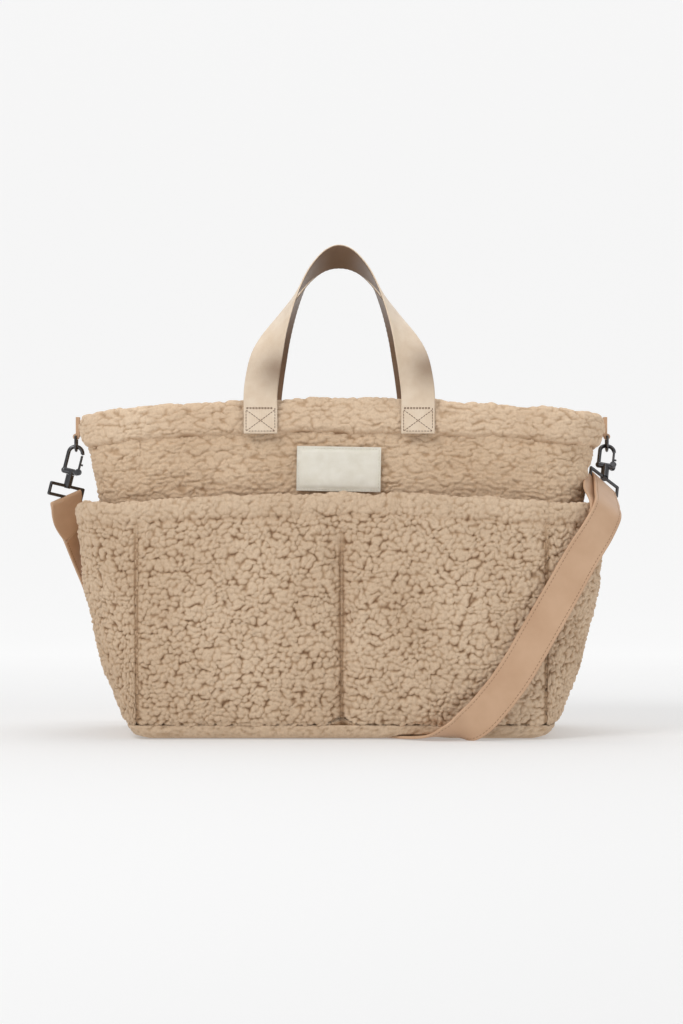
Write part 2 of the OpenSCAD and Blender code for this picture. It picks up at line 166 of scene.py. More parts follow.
def table(seed, layers=1):
    return np.random.default_rng(seed).random((layers, TABLE, TABLE))


def smooth_noise(s, t, size, seed):
    """Smooth noise from -1 to 1 over a plane, with features of the given size."""
    grid = table(seed)[0] * 2 - 1
    x, y = s / size, t / size
    i, j = np.floor(x).astype(int), np.floor(y).astype(int)
    fx, fy = x - i, y - j
    fx, fy = fx * fx * (3 - 2 * fx), fy * fy * (3 - 2 * fy)
    pick = lambda di, dj: grid[(i + di) % TABLE, (j + dj) % TABLE]
    return ((pick(0, 0) * (1 - fx) + pick(1, 0) * fx) * (1 - fy)
            + (pick(0, 1) * (1 - fx) + pick(1, 1) * fx) * fy)


def cells(s, t, size, seed):
    """Distance to the nearest point of a staggered, jittered grid, in cells, and that point's value."""
    px, py, value = table(seed, 3)
    x, y = s / size, t / (size * ROW_PITCH)
    j = np.floor(y).astype(int)
    near = np.full(x.shape, 9.0)
    chosen = np.zeros(x.shape)
    for dj in (-1, 0, 1):
        stagger = 0.5 * ((j + dj) % 2)
        i = np.floor(x - stagger).astype(int)
        for di in (-1, 0, 1):
            a, b = (i + di) % TABLE, (j + dj) % TABLE
            d = np.hypot(i + di + stagger + 0.5 + JITTER * (px[a, b] - 0.5) - x,
                         j + dj + 0.5 + JITTER * (py[a, b] - 0.5) - y)
            chosen = np.where(d < near, value[a, b], chosen)
            near = np.minimum(near, d)
    return near, chosen


def step(lo, hi, x):
    """A smooth step from 0 at lo to 1 at hi."""
    t = np.clip((x - lo) / (hi - lo), 0, 1)
    return t * t * (3 - 2 * t)


CURL = 4.9              # width of one tuft of the fleece
CURL_DEPTH = 3.1
CREASE_AT = 0.74        # from a tuft's middle to its crease, in cells
DRIFT, DRIFT_SIZE = 2.6, 10.0       # how far the rows of tufts wander, and over what distance
WOBBLE, WOBBLE_SIZE = 0.9, 3.4


def fleece(s, t, seed, stretch=1.0):
    """Height of the fleece pile and how deep in a crease each place lies; the shader paints this depth as
    shade.
    """
    def wander(k):
        return (DRIFT * smooth_noise(s, t, DRIFT_SIZE, seed + k)
                + WOBBLE * smooth_noise(s, t, WOBBLE_SIZE, seed + k + 1))

    bend_s, bend_t = s / stretch + wander(1), t + wander(3)
    near, value = cells(bend_s, bend_t, CURL, seed + 5)
    # neighbouring tufts run together in places, so the creases come and go
    parted = 0.66 + 0.34 * step(-0.5, 0.3, smooth_noise(bend_s, bend_t, 7, seed + 9))
    hollow = np.clip(near / CREASE_AT, 0, 1) ** 2.2 * parted
    height = (CURL_DEPTH * (0.35 + 0.45 * (value - 0.5) - hollow) + 0.9 * smooth_noise(s, t, 26, seed + 7)
              + 0.35 * smooth_noise(s, t, 2.6, seed + 8))
    # painted shade: how much the shader darkens each place in the creases between tufts
    crease = step(0.34, 0.78, near) * parted
    return height, crease


# ---------------- meshes
def new_object(name, verts, faces, crease=None):
    mesh = bpy.data.meshes.new(name)
    mesh.from_pydata(np.asarray(verts).reshape(-1, 3).tolist(), [], faces)
    mesh.validate()
    # the crease attribute darkens the colour in the shaders: painted shade on the fleece, and on the webbing
    # its dark brown inner face and a painted shade patch
    if crease is not None:
        attribute = mesh.attributes.new("crease", "FLOAT", "POINT")
        attribute.data.foreach_set("value", np.asarray(crease, dtype=np.float32).ravel())
    mesh.polygons.foreach_set("use_smooth", [True] * len(mesh.polygons))
    obj = bpy.data.objects.new(name, mesh)
    bpy.context.scene.collection.objects.link(obj)
    return obj


def grid_faces(rows, cols, wrap_rows=False, wrap_cols=False, flip=False):
    r = np.arange(rows if wrap_rows else rows - 1)
    c = np.arange(cols if wrap_cols else cols - 1)
    rr, cc = np.meshgrid(r, c, indexing="ij")
    r2, c2 = (rr + 1) % rows, (cc + 1) % cols
    quad = np.stack([rr * cols + cc, rr * cols + c2, r2 * cols + c2, r2 * cols + cc], axis=-1).reshape(-1, 4)
    return (quad[:, ::-1] if flip else quad).tolist()


def cap_rows(rows, cols):
    """The two faces that close a tube whose first and last rows are its ends."""
    return [list(range(cols)), [(rows - 1) * cols + c for c in range(cols - 1, -1, -1)]]


def cap_columns(rows, cols, flip=False):
    """The two faces that close a tube whose first and last columns are its ends."""
    ends = [[r * cols for r in range(rows)], [r * cols + cols - 1 for r in range(rows - 1, -1, -1)]]
    return [end[::-1] for end in ends] if flip else ends


def normals(p, wrap_rows=False):
    if wrap_rows:
        down = np.roll(p, -1, axis=0) - np.roll(p, 1, axis=0)
    else:
        down = np.gradient(p, axis=0)
    n = np.cross(np.gradient(p, axis=1), down)
    return n / np.maximum(np.linalg.norm(n, axis=-1, keepdims=True), 1e-9)


def loop_shell(name, points, pile, crease, turning=False):
    """A closed shell from a closed cross-section (rows) swept along the columns, in millimetres."""
    n = normals(points, wrap_rows=True)
    moved = (points + n * pile[..., None]) * MM
    rows, cols = points.shape[:2]
    faces = grid_faces(rows, cols, wrap_rows=True, wrap_cols=turning)
    if not turning:
        faces += cap_columns(rows, cols)
    return new_object(name, moved, faces, crease)


def section_of_wall(low, high, outer, inner, fine, coarse, roll, hidden_below=0.0):
    """Stations round the cross-section of a wall, as fractions of its height and offsets.
    Up the outside, over a rolled top edge and down the inside. Also how many are outside."""
    length = high - low
    ups = []
    z = low
    while z < high - roll:
        ups.append((z, outer))
        z += coarse if z < hidden_below else fine
    middle, radius = (outer + inner) / 2, (outer - inner) / 2
    turns = max(10, int(math.pi * (radius + roll) / 2 / fine))
    arc = [(high - roll + roll * math.sin(a), middle + radius * math.cos(a))
           for a in np.linspace(0, math.pi, turns)]
    downs = []
    z = high - roll - coarse
    while z > low:
        downs.append((z, inner))
        z -= coarse
    downs.append((low, inner))
    stations = ups + arc + downs
    return np.array([((z - low) / length, off) for z, off in stations]), len(ups) + len(arc)


# ---------------- fleece walls
FINE = 0.95             # spacing of the fleece's mesh
LAP = 0.006             # how far each wall runs past its corner seam, in turns
FRONT_SEAM = 0.5        # the turn of the seam between the two front pockets
SEAM_AT, SEAM_PAINTED_SHADE = 2.6, 0.85      # where the sewn line runs, from the end of a lapped wall, and how much painted shade its groove gets
BODY_OUT, BODY_PILE, BODY_MOST = -1.5, 0.72, 2.6
BODY_SHOWS = (185, 205)             # the fleece comes in over these heights, behind the pockets
HEM_OUT, HEM_IN, HEM_ROLL = 2.4, LINING_OFF - 1.8, 9.0
HEM_SWELL, HEM_TUCK, HEM_PILE, HEM_WAVE = 1.5, 6.0, 0.62, 1.3
POCKET_OUT, POCKET_ROLL, POCKET_LINE = -2.0, 5.0, 19.5


def wall_points(us, section, low, high, skirt):
    z = low[None, :] + (high - low)[None, :] * section[:, 0][:, None]
    return skin(us[None, :], z, section[:, 1][:, None], skirt)


def from_front(u, skirt, z):
    """Distance along the outline from the front left corner to a turn."""
    fine = np.linspace(-0.1, 4.1, 4000)
    p = skin(fine, z, 0, skirt)
    run = run_along(p)
    return np.interp(u, fine, run)


def seam_dip(distance, width, depth):
    return -depth * np.exp(-(distance / width) ** 2)


def body_wall(name, start, stop, seed):
    us, along = even_turns(start - LAP, stop + LAP, FINE, False, 240)
    high = rim(us) + BODY_OUT
    bottom = BASE_T + 0.3
    section, _ = section_of_wall(bottom, 296, BODY_OUT, -PANEL_T, FINE, 9.0, 3.0, hidden_below=192)
    points = wall_points(us, section, np.full_like(us, bottom), high, False)
    s, t = np.meshgrid(from_front(us, False, 240), run_along(points.mean(axis=1)), indexing="xy")
    pile, crease = fleece(s, t * 1.2, seed, 1.5)
    z = points[..., 2]
    outside = section[:, 1][:, None] > -PANEL_T / 2
    amount = np.where(outside, BODY_PILE, 0.03) * step(*BODY_SHOWS, z)
    # gathered folds under the hem band
    folds = 1.3 * smooth_noise(s, z * 2.6, 26, seed + 20) * step(205, 215, z)
    edge = np.minimum(along, along[-1] - along)[None, :]
    pile = amount * (pile + folds) + np.where(outside, seam_dip(edge, 5.0, 1.2), 0)
    # the crease mask becomes painted shade in the shader
    return loop_shell(name, points, np.minimum(pile, BODY_MOST), crease * amount * 0.8)


def hem_band(seed):
    us, along = even_turns(0, 4, FINE, False, 280)
    us, along = us[:-1], along[:-1]
    top = rim(us) + 0.5
    middle, radius = (HEM_OUT + HEM_IN) / 2, (HEM_OUT - HEM_IN) / 2
    # the band swells between its rolled top and the stitched line, where it turns under
    outs = [(z, HEM_OUT + HEM_SWELL * math.sin(math.pi * -z / HEM_H)
             - HEM_TUCK * float(step(-HEM_H + 10, -HEM_H, z)) ** 1.5)
            for z in np.arange(-HEM_H, -HEM_ROLL, FINE)]
    arc = [(-HEM_ROLL + HEM_ROLL * math.sin(a), middle + radius * math.cos(a))
           for a in np.linspace(0, math.pi, 24)]
    ins = [(z, HEM_IN) for z in np.arange(-HEM_ROLL - 4, -26, -4.0)]
    back = [(-26, HEM_IN + 1.2), (-12, HEM_IN + 2.5), (-8, middle), (-12, -3.4), (-HEM_H, -4.2)]
    section = np.array(outs + arc + ins + back)
    z = top[None, :] + section[:, 0][:, None]
    points = skin(us[None, :], z, section[:, 1][:, None], False)
    s, t = np.meshgrid(along, run_along(points.mean(axis=1)), indexing="xy")
    pile, crease = fleece(s, t * 1.15, seed, 1.6)
    face = (np.arange(len(section)) < len(outs) + len(arc)).astype(float)[:, None]
    depth = section[:, 0][:, None]
    wave = HEM_WAVE * smooth_noise(s, depth * 0.6, 26, seed + 30) * face
    drop = (2.2 * smooth_noise(along, along * 0, 42, seed + 31)
            + 1.2 * smooth_noise(along, along * 0, 15, seed + 32))
    points[..., 2] += drop[None, :] * np.clip(-depth / HEM_H, 0, 1) ** 2
    pile = (HEM_PILE * face * pile + wave) * step(-HEM_H, -HEM_H + 6, depth)
    # flattened where the webbing feet are sewn on
    x, y = points[..., 0], points[..., 1]
    for cx in (HANDLE_X - FOOT_X, HANDLE_X + FOOT_X):
        foot = step(WEB_W / 2 + 6, WEB_W / 2 - 1, np.abs(x - cx)) * face
        room = np.where(np.abs(y) > 60, 2.2, 9)
        pile = np.where(foot > 0, np.minimum(pile, room * foot + pile * (1 - foot)), pile)
    # painted shade: weaker in the band's creases, and along the groove at its lower, stitched edge
    sewn = np.exp(-((depth + HEM_H - 2.5) / 2.4) ** 2) * (0.55 + 0.6 * smooth_noise(s, 0 * s, 8, seed + 33))
    crease = np.maximum(crease * 0.65, sewn) * face
    return loop_shell("top_hem", points, pile, crease, turning=True)


def pocket_wall(name, start, stop, seed, puff=0.0, pinch=None):
    """puff is how far the pocket bulges; pinch is (part of its width, width, depth) of a sewn fold."""
    us, along = even_turns(start - LAP, stop + LAP, FINE, True, 190)
    round_bag = from_front(us, True, 190)
    high = pocket_rim(us) + 1.3 * smooth_noise(round_bag, 0 * us, 21, seed + 40)
    bottom = BASE_T - 0.5
    section, count = section_of_wall(bottom, 214, POCKET_OUT, -POCKET_T, FINE, 7.0, POCKET_ROLL)
    points = wall_points(us, section, np.full_like(us, bottom), high, True)
    s, t = np.meshgrid(round_bag, run_along(points.mean(axis=1)), indexing="xy")
    pile, crease = fleece(s, t, seed)
    z = points[..., 2]
    outside = (np.arange(len(section)) < count).astype(float)[:, None]
    depth = high[None, :] - z
    # the turned hem: a soft roll with a sewn line below it
    hem = step(20, 12, depth)
    pile = pile * outside * (1 - 0.3 * hem)
    crease = crease * outside * (1 - 0.5 * hem)
    pile += outside * (np.exp(-((depth - 9) / 7) ** 2) - 1.6 * np.exp(-((depth - POCKET_LINE) / 2.6) ** 2))
    # painted shade along the groove of the pocket hem's sewn line
    crease = np.maximum(crease, 0.3 * outside * np.exp(-((depth - POCKET_LINE) / 1.8) ** 2)
                        * (0.5 + 0.5 * smooth_noise(s, t, 9, seed + 41)))
    frac = along / along[-1]
    bulge = np.sin(np.pi * frac)[None, :] ** 0.6 * np.sin(np.pi * np.clip((z - 10) / 205, 0, 1)) ** 0.7
    shift = puff * bulge
    for distance, corner in ((along, start), (along[-1] - along, stop)):
        # the seam between the two front pockets starts well below their hem
        sewn = step(28, 62, depth) if corner == FRONT_SEAM else step(6, 40, depth)
        pile += outside * seam_dip(distance[None, :], 6.0, 2.6) * sewn
        # painted shade along the groove of each seam
        line = np.exp(-((distance[None, :] - SEAM_AT) / 1.5) ** 2) * sewn * outside
        crease = np.maximum(crease, SEAM_PAINTED_SHADE * line)
    pile += outside * seam_dip(z - BASE_T, 3.0, 1.6)
    pile = np.where(outside > 0, np.maximum(pile, step(4, 16, z - BASE_T) * -2.2 - 2.4), pile)
    if pinch is not None:
        at, width, how_deep = pinch
        distance = np.abs(along - along[-1] * at)[None, :]
        shift = shift - how_deep * np.exp(-(distance / width) ** 2) * step(212, 165, z)
    # the wall moves as a whole, so both of its faces take the bulge
    n = normals(points, wrap_rows=True)
    points = points + n * np.where(outside > 0, 1.0, -1.0)[..., None] * shift[..., None]
    return loop_shell(name, points, pile, crease)


def foam_pad(name, start, stop):
    """The foam sheet between a panel and the lining: a soft-edged pad that stops inside the top hem."""
    us, along = even_turns(start + 0.02, stop - 0.02, 4.0, False, 240)
    high = rim(us) - PAD_BELOW_RIM
    section, _ = section_of_wall(PAD_LOW, PAD_HIGH, -PANEL_T - 0.5, LINING_OFF + 0.6, 3.0, 4.0, 3.0)
    points = wall_points(us, section, np.full_like(us, PAD_LOW), high, False)
    z = points[..., 2]
    edge = np.minimum(np.minimum(along, along[-1] - along)[None, :], z - PAD_LOW)
    pile = 0.25 * smooth_noise(along[None, :], z, 30, 66) - 1.4 * np.exp(-np.maximum(edge, 0) / 3.0)
    return loop_shell(name, points, pile, 0 * pile)


def base_piece(seed):
    """The stitched base: a fleece band round the edge, and a flat underside with the strap's channel."""
    us, along = even_turns(0, 4, 2.0, True, 8)
    us, along = us[:-1], along[:-1]
    heights = np.array([12.5, 11.0, 9.5, 8.0, 6.5, 5.0, 3.6, 2.4, 1.4, 0.7, 0.3])
    offs = np.array([-3.0, -2.2, -1.8, -1.6, -1.6, -1.6, -1.8, -2.4, -3.4, -5.0, -8.0])
    strength = np.array([0.3, 0.6, 0.6, 0.6, 0.6, 0.6, 0.5, 0.4, 0.2, 0.05, 0])[:, None]
    side = skin(us[None, :], heights[:, None], offs[:, None], True)
    s, t = np.meshgrid(along, -heights * 1.4, indexing="xy")
    pile, crease = fleece(s, t, seed)
    n = normals(side)
    outward = n * np.sign((n * side)[..., :2].sum(axis=-1).mean())
    side = side + outward * (pile * strength)[..., None]
    side[..., 2] = np.maximum(side[..., 2], 0.25)

    def rings(edge, shares, height):
        return [(edge * np.array([k, k, 0]) + np.array([0, 0, height]))[None] for k in shares]

    upper = rings(side[0], (0.2, 0.6, 0.9), BASE_T)
    points = np.concatenate(upper + [side] + rings(side[-1], (0.9, 0.7, 0.45, 0.2), 0.3))
    turn = math.radians(CHANNEL_TURN)
    rel = points[..., :2] - np.array(CHANNEL_AT)
    across = np.abs(rel[..., 0] * -math.sin(turn) + rel[..., 1] * math.cos(turn))
    channel = CHANNEL_DEPTH * step(CHANNEL_HALF, STRAP_W / 2, across)
    under = points[..., 2] < CHANNEL_DEPTH
    points[..., 2] = np.where(under, np.maximum(points[..., 2], channel), points[..., 2])
    rows, cols = points.shape[:2]
    faces = grid_faces(rows, cols, wrap_cols=True, flip=True) + cap_rows(rows, cols)
    # painted shade in the creases of the base's fleece band
    full = np.zeros((rows, cols))
    full[len(upper):len(upper) + len(heights)] = crease * strength
    return new_object("base", points * MM, faces, full)


# ---------------- ribbons
def curve_points(p, steps):
    """The same smooth curve through points as the CAD's route, with more steps."""
    p = np.asarray(p, float)
    out = []
    last = len(p) - 1
    for i in range(last):
        a, b, c, d = p[max(0, i - 1)], p[i], p[i + 1], p[min(last, i + 2)]
        for k in range(steps):
            t = k / steps
            out.append(0.5 * (2 * b + (c - a) * t + (2 * a - 5 * b + 4 * c - d) * t * t
                              + (3 * b - a - 3 * c + d) * t ** 3))
    out.append(p[-1])
    return np.array(out)


def evenly(path, across, spacing):
    """A path and the directions across it at an even spacing, and the distance along it."""
    run = run_along(path)
    at = np.linspace(0, run[-1], int(run[-1] / spacing) + 1)
    grab = lambda v: np.stack([np.interp(at, run, v[:, k]) for k in range(3)], axis=1)
    return grab(path), grab(across), at


def frames(path, across):
    """The directions across the strip and out of its face."""
    along = np.gradient(path, axis=0)
    along /= np.linalg.norm(along, axis=1, keepdims=True)
    wide = across - along * (along * across).sum(axis=1, keepdims=True)
    wide /= np.linalg.norm(wide, axis=1, keepdims=True)
    return wide, np.cross(along, wide)


def ribbon_profile(width, thickness, count, edge_round):
    """Closed outline of a flat strip with rounded edges: (across, out) pairs, outer face first."""
    a, b = width / 2, thickness / 2
    xs = np.linspace(-a + b, a - b, count)
    bend = np.linspace(math.pi / 2, -math.pi / 2, edge_round)
    right = [(a - b + b * math.cos(g), b * math.sin(g)) for g in bend]
    left = [(-a + b - b * math.cos(g), b * math.sin(g)) for g in bend[::-1]]
    return np.array([(x, b) for x in xs[1:-1]] + right + [(x, -b) for x in xs[::-1][1:-1]] + left)


def ribbon(name, path, across, profile, relief=None, shade=None):
    """A strip swept along a path. relief gives extra height over (distance along, distance across),
    and shade how much painted shade its outer face gets."""
    wide, out = frames(path, across)
    x, y = profile[:, 0], profile[:, 1]
    run = run_along(path)
    lift = np.zeros((len(path), len(profile)))
    if relief is not None:
        lift = relief(run[:, None], x[None, :])
    points = (path[:, None, :] + wide[:, None, :] * x[None, :, None]
              + out[:, None, :] * (y[None, :] + np.sign(y)[None, :] * lift)[..., None])
    back = np.broadcast_to((y > 0)[None, :], points.shape[:2]).astype(float)
    # shade adds painted shade to the darkening the shader reads
    if shade is not None:
        back = np.maximum(back, shade(run[:, None], run[-1], x[None, :]))
    rows, cols = points.shape[:2]
    faces = grid_faces(rows, cols, wrap_cols=True, flip=True) + cap_rows(rows, cols)
    return new_object(name, points * MM, faces, back)


STITCH_ENDS = [(-1, 0.25), (-0.72, 0.8), (0, 1.0), (0.72, 0.8), (1, 0.25)]     # place along, and radius
STITCH_SIDES = 6


def stitches(name, runs, length, thick, gap):
    """Rows of thread. Each run is (points, normals): short rounded stitches along the points."""
    verts, faces = [], []
    turn = np.linspace(0, 2 * math.pi, STITCH_SIDES, endpoint=False)
    for points, up in runs:
        points, up = np.asarray(points, float), np.asarray(up, float)
        run = run_along(points)
        centres = np.arange(length / 2 + 0.2, run[-1] - length / 2, length + gap)
        at = lambda where, v: np.stack([np.interp(where, run, v[:, k]) for k in range(3)], axis=1)
        c, n = at(centres, points), at(centres, up)
        n /= np.linalg.norm(n, axis=1, keepdims=True)
        d = at(centres + 0.3, points) - c
        d /= np.maximum(np.linalg.norm(d, axis=1, keepdims=True), 1e-9)
        w = np.cross(n, d)
        for k in range(len(c)):
            base = len(verts)
            for rt, rr in STITCH_ENDS:
                sink = -0.25 * thick * rt * rt
                for g in turn:
                    verts.append(c[k] + d[k] * rt * length / 2 + w[k] * math.cos(g) * rr * thick / 2
                                 + n[k] * (math.sin(g) * rr * thick / 2 + sink))
            rows = len(STITCH_ENDS)
            stitch = (grid_faces(rows, STITCH_SIDES, wrap_cols=True)
                      + [end[::-1] for end in cap_rows(rows, STITCH_SIDES)])
            faces += [[base + q for q in face] for face in stitch]
    return new_object(name, np.array(verts) * MM, faces)


# ---------------- shoulder strap
STRAP_ROUTE = [(238, -31, 228), (239, -43, 221), (238, -64, 214), (236, -88, 203), (227, -100, 186),
               (212, -106, 163), (195, -109, 133), (176, -110, 100), (154, -109, 62),
               (135, -108, 36), (117, -106, 17), (99, -102, 8), (80, -88, 3), (40, -56, 1.6),
               (-50, 17, 1.6), (-110, 65, 1.6), (-146, 97, 4), (-178, 116, 22), (-206, 118, 58),
               (-226, 106, 100), (-241, 76, 144), (-249, 36, 184), (-253, 10, 205), (-254, 2, 214)]
STRAP_ACROSS = [(0.68, 0.5, -0.55), (0.68, 0.5, -0.55), (0.7, 0.5, -0.5), (0.75, 0.45, -0.46),
                (0.8, 0.35, -0.45), (0.85, 0.22, -0.45), (0.88, 0.1, -0.45), (0.89, 0.04, -0.45),
                (0.89, 0, -0.45), (0.85, 0, -0.52), (0.82, 0.12, -0.5), (0.75, 0.55, -0.25),
                (0.64, 0.77, 0), (0.63, 0.78, 0), (0.63, 0.78, 0), (0.63, 0.78, 0), (0.65, 0.72, 0.1),
                (0.75, 0.5, 0.35), (0.72, 0.6, 0.3), (0.5, 0.8, 0.2), (0.3, 0.92, 0.2), (0.5, 0.85, 0.1),
                (0.7, 0.7, 0), (0.77, 0.64, 0)]


STRAP_SEWN = 3.0        # from the strap's edge to its stitching


def make_strap():
    path, across, run = evenly(curve_points(STRAP_ROUTE, 12), curve_points(STRAP_ACROSS, 12), 2.0)
    profile = ribbon_profile(STRAP_W, STRAP_T * 0.86, 33, 5)

    def relief(s, x):
        edge = STRAP_W / 2 - np.abs(x)
        turned = 0.22 * step(4.6, 3.9, edge) - 0.30 * np.exp(-((edge - STRAP_SEWN) / 0.55) ** 2)
        grain = 0.05 * smooth_noise(s + 0 * x, x + 0 * s, 7, 77)
        return turned + grain

    strap = ribbon("leather_strap", path, across, profile, relief)
    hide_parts("shoulder_strap")
    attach(strap, "bag")
    wide, out = frames(path, across)
    runs = []
    for side in (-1, 1):
        for face in (-1, 1):
            line = path + wide * side * (STRAP_W / 2 - STRAP_SEWN) + out * face * (STRAP_T * 0.43 - 0.05)
            runs.append((line, out * face))
    thread = stitches("strap_stitching", runs, 2.6, 0.75, 0.9)
    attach(thread, "bag")
    leaves = [strap_leaf("right_strap_leaf", path, wide, out, 78, 9.0),
              strap_leaf("left_strap_leaf", path[::-1], wide[::-1], out[::-1], 46, 3.0)]
    return strap, thread, leaves


BAG_MIDDLE = (0.0, 0.0, 150.0)
LEAF_GAP, BAR_ROOM = 0.3, 1.6       # between the leaf and the strap, and for the loop's bar


def strap_leaf(name, path, wide, out, length, aside):
    """The end of the strap, folded over the bar of its loop and sewn to the strap's inner side."""
    count = int(length / 2.0)
    t = np.linspace(0, 1, count)[:, None]
    path, wide, out = path[:count], wide[:count], out[:count]
    inward = np.sign(((np.array(BAG_MIDDLE) - path) * out).sum(axis=1, keepdims=True))
    under = path + out * inward * (STRAP_T + LEAF_GAP + 2.4 * np.sin(np.pi * t) ** 2)
    under = under - wide * np.sign(wide[:, :1]) * aside * np.sin(np.pi * np.minimum(1, t * 1.1)) ** 0.8
    back = path[0] - path[1]
    back = back / np.linalg.norm(back)
    turn = np.linspace(0, math.pi, 9)[:-1, None]
    radius = (STRAP_T + LEAF_GAP) / 2
    arm = out[0] * inward[0] * radius
    fold = path[0] + arm - arm * np.cos(turn) + back * (radius + BAR_ROOM) * np.sin(turn)
    across = np.concatenate([np.tile(wide[0], (len(fold), 1)), wide])
    profile = ribbon_profile(STRAP_W, STRAP_T * 0.8, 17, 5)
    leaf = ribbon(name, np.concatenate([fold, under]), across, profile)
    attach(leaf, "bag")
    return leaf


strap, strap_thread, strap_leaves = make_strap()


# ---------------- fleece pieces
BODY_SEED, HEM_SEED, POCKET_SEED, BASE_SEED = 100, 500, 600, 1100
front_panel = body_wall("front_body", 0, 1, BODY_SEED)
right_gusset = body_wall("right_body", 1, 2, BODY_SEED)
rear_panel = body_wall("rear_body", 2, 3, BODY_SEED)
left_gusset = body_wall("left_body", 3, 4, BODY_SEED)
hem = hem_band(HEM_SEED)
pocket_fl = pocket_wall("front_left_pocket_fleece", 0, FRONT_SEAM, POCKET_SEED, puff=5.0, pinch=(1.0, 12, 7))
pocket_fr = pocket_wall("front_right_pocket_fleece", FRONT_SEAM, 1, POCKET_SEED, puff=5.0, pinch=(0.0, 12, 7))
pocket_r = pocket_wall("right_side_pocket_fleece", 1, 2, POCKET_SEED)
pocket_b = pocket_wall("rear_pocket_fleece", 2, 3, POCKET_SEED, puff=4.0)
pocket_l = pocket_wall("left_side_pocket_fleece", 3, 4, POCKET_SEED)
base = base_piece(BASE_SEED)
fleece_pieces = {
    front_panel: "front_panel", right_gusset: "right_gusset", rear_panel: "rear_panel",
    left_gusset: "left_gusset", hem: "top_hem_band", pocket_fl: "front_left_pocket",
    pocket_fr: "front_right_pocket", pocket_r: "right_side_pocket", pocket_b: "rear_pocket",
    pocket_l: "left_side_pocket", base: "base_panel"}
for piece, stands_for in fleece_pieces.items():
    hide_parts(stands_for)
    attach(piece, "bag")

pads = {foam_pad("front_foam_pad", 0, 1): "front_padding", foam_pad("rear_foam_pad", 2, 3): "rear_padding"}
for piece, stands_for in pads.items():
    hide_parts(stands_for)
    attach(piece, "bag")


# ---------------- lining
LINING_LOW, LINING_HIGH, FLOOR_Z = 15.4, 281.0, 15.6


def make_lining():
    us, along = even_turns(0, 4, 4.0, False, 200)
    us, along = us[:-1], along[:-1]
    inside, outside = 60, 30        # rows
    heights = np.concatenate([np.linspace(LINING_LOW, LINING_HIGH, inside), [LINING_HIGH],
                              np.linspace(LINING_HIGH, LINING_LOW, outside)])
    offs = LINING_OFF - np.array([1.5] * inside + [0.8] + [0.1] * outside)
    points = skin(us[None, :], heights[:, None], offs[:, None], False)
    s, t = np.meshgrid(along, heights, indexing="xy")
    crumple = 1.8 * smooth_noise(s, t * 0.45, 34, 61) + 0.8 * smooth_noise(s, t, 13, 62)
    seen = np.arange(len(heights))[:, None] < inside
    crumple = np.where(seen, np.clip(crumple + 1.6, 0, 4), 0)
    points = points + normals(points, wrap_rows=True) * crumple[..., None]
    faces = grid_faces(*points.shape[:2], wrap_rows=True, wrap_cols=True, flip=True)
    wall = new_object("lining_wall", points * MM, faces)
    ring = skin(us, np.full_like(us, LINING_LOW - 0.2), LINING_OFF - 1.6, False)
    rings = []
    for k in np.linspace(1, 0.04, 26):
        p = ring * np.array([k, k, 1])
        p[:, 2] = FLOOR_Z + 0.5 * smooth_noise(p[:, 0], p[:, 1], 28, 63) * (1 - k ** 6) + 0.3
        rings.append(p)
    rings += [ring * np.array([k, k, 0]) + np.array([0, 0, FLOOR_Z - 0.9]) for k in (0.04, 0.5, 1)]
    points = np.array(rings)
    faces = grid_faces(*points.shape[:2], wrap_rows=True, wrap_cols=True)
    return wall, new_object("lining_base", points * MM, faces)


lining, lining_floor = make_lining()
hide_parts("lining")
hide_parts("lining_floor")
for piece in (lining, lining_floor):
    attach(piece, "bag")
lining_round = float(from_front(4.0, False, LINING_HIGH)) * MM


SLIP_FULL, SLIP_THICK, SLIP_HEM = 6.4, 0.9, 14.0
slip_low, slip_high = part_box("inner_pocket")


def thin_cloth(name, front, back):
    """A closed cloth between two grids of points."""
    points = np.concatenate([front, back[::-1]])
    rows, cols = points.shape[:2]
    faces = grid_faces(rows, cols, wrap_rows=True) + cap_columns(rows, cols, flip=True)
    return new_object(name, points * MM, faces)


def soft_sheet_pocket():
    """The inner slip pocket: a sheet with a turned top edge that stands a little off the lining."""
    x = np.linspace(slip_low[0] / MM, slip_high[0] / MM, 90)
    z = np.linspace(slip_low[2] / MM, slip_high[2] / MM, 50)
    gx, gz = np.meshgrid(x, z, indexing="xy")
    across = np.sin(np.pi * (gx - x[0]) / (x[-1] - x[0]))
    up = (gz - z[0]) / (z[-1] - z[0])
    stand = SLIP_FULL * up ** 0.7 * across ** 0.35 + 1.2 + 0.5 * smooth_noise(gx, gz, 18, 71) * across
    turned = 0.5 * step(z[-1] - SLIP_HEM, z[-1] - SLIP_HEM + 2, gz)
    wall_y = slip_high[1] / MM - 0.2
    front = np.stack([gx, wall_y - stand - turned, gz], axis=-1)
    back = np.stack([gx, wall_y - stand + SLIP_THICK, gz], axis=-1)
    return thin_cloth("inner_slip_pocket", front, back)


slip = soft_sheet_pocket()
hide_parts("inner_pocket")
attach(slip, "bag")


# ---------------- handles
HANDLE_RISE = [(70, 0, 3), (68.5, 1, 17), (65, 5, 36), (58.5, 12, 56), (48, 22, 78),
               (37, 31, 98), (25, 38, 115), (12, 43, 126), (0, 45, 129.5)]
HANDLE_TURN = [(-1, 0, 0), (-1, -0.06, 0), (-0.95, -0.25, 0.05), (-0.75, -0.6, 0.1), (-0.4, -0.9, 0.12),
               (-0.12, -0.97, 0.16), (-0.02, -0.92, 0.36), (0, -0.82, 0.56), (0, -0.77, 0.64)]


REAR_TALLER = 1.045     # so that the front handle hides the rear one in the photo's view
# painted shade on the webbing's lower legs: its centre from each end, its length and its strength
PAINTED_SHADE_UP, PAINTED_SHADE_LONG, PAINTED_SHADE_STRENGTH = 58.0, 19.0, 0.8


